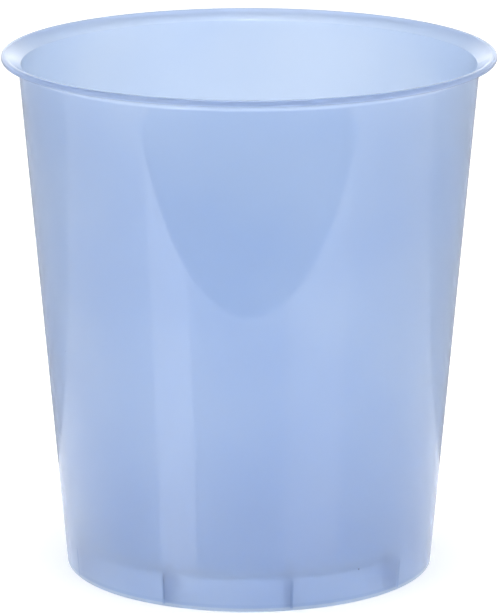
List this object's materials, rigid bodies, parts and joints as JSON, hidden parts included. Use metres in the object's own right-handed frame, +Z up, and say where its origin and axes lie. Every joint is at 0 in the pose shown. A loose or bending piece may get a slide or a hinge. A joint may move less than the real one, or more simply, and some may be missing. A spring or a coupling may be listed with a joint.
{
  "type": "wastebasket",
  "caption": "Round tapered open wastebasket of frosted translucent blue plastic with a flared, rounded rim and a raised floor.",
  "frame": {"origin": "centre of the foot, on the surface that the basket stands on", "axes": "+Z up out of the mouth, +X to the right and -Y towards the viewer; one rib lies 3 degrees from +X"},
  "size_m": [0.31, 0.31, 0.33],
  "materials": {
    "frosted_plastic": "satin, translucent"
  },
  "bodies": {
    "root": {"basket": "frosted_plastic"}
  },
  "joints": []
}
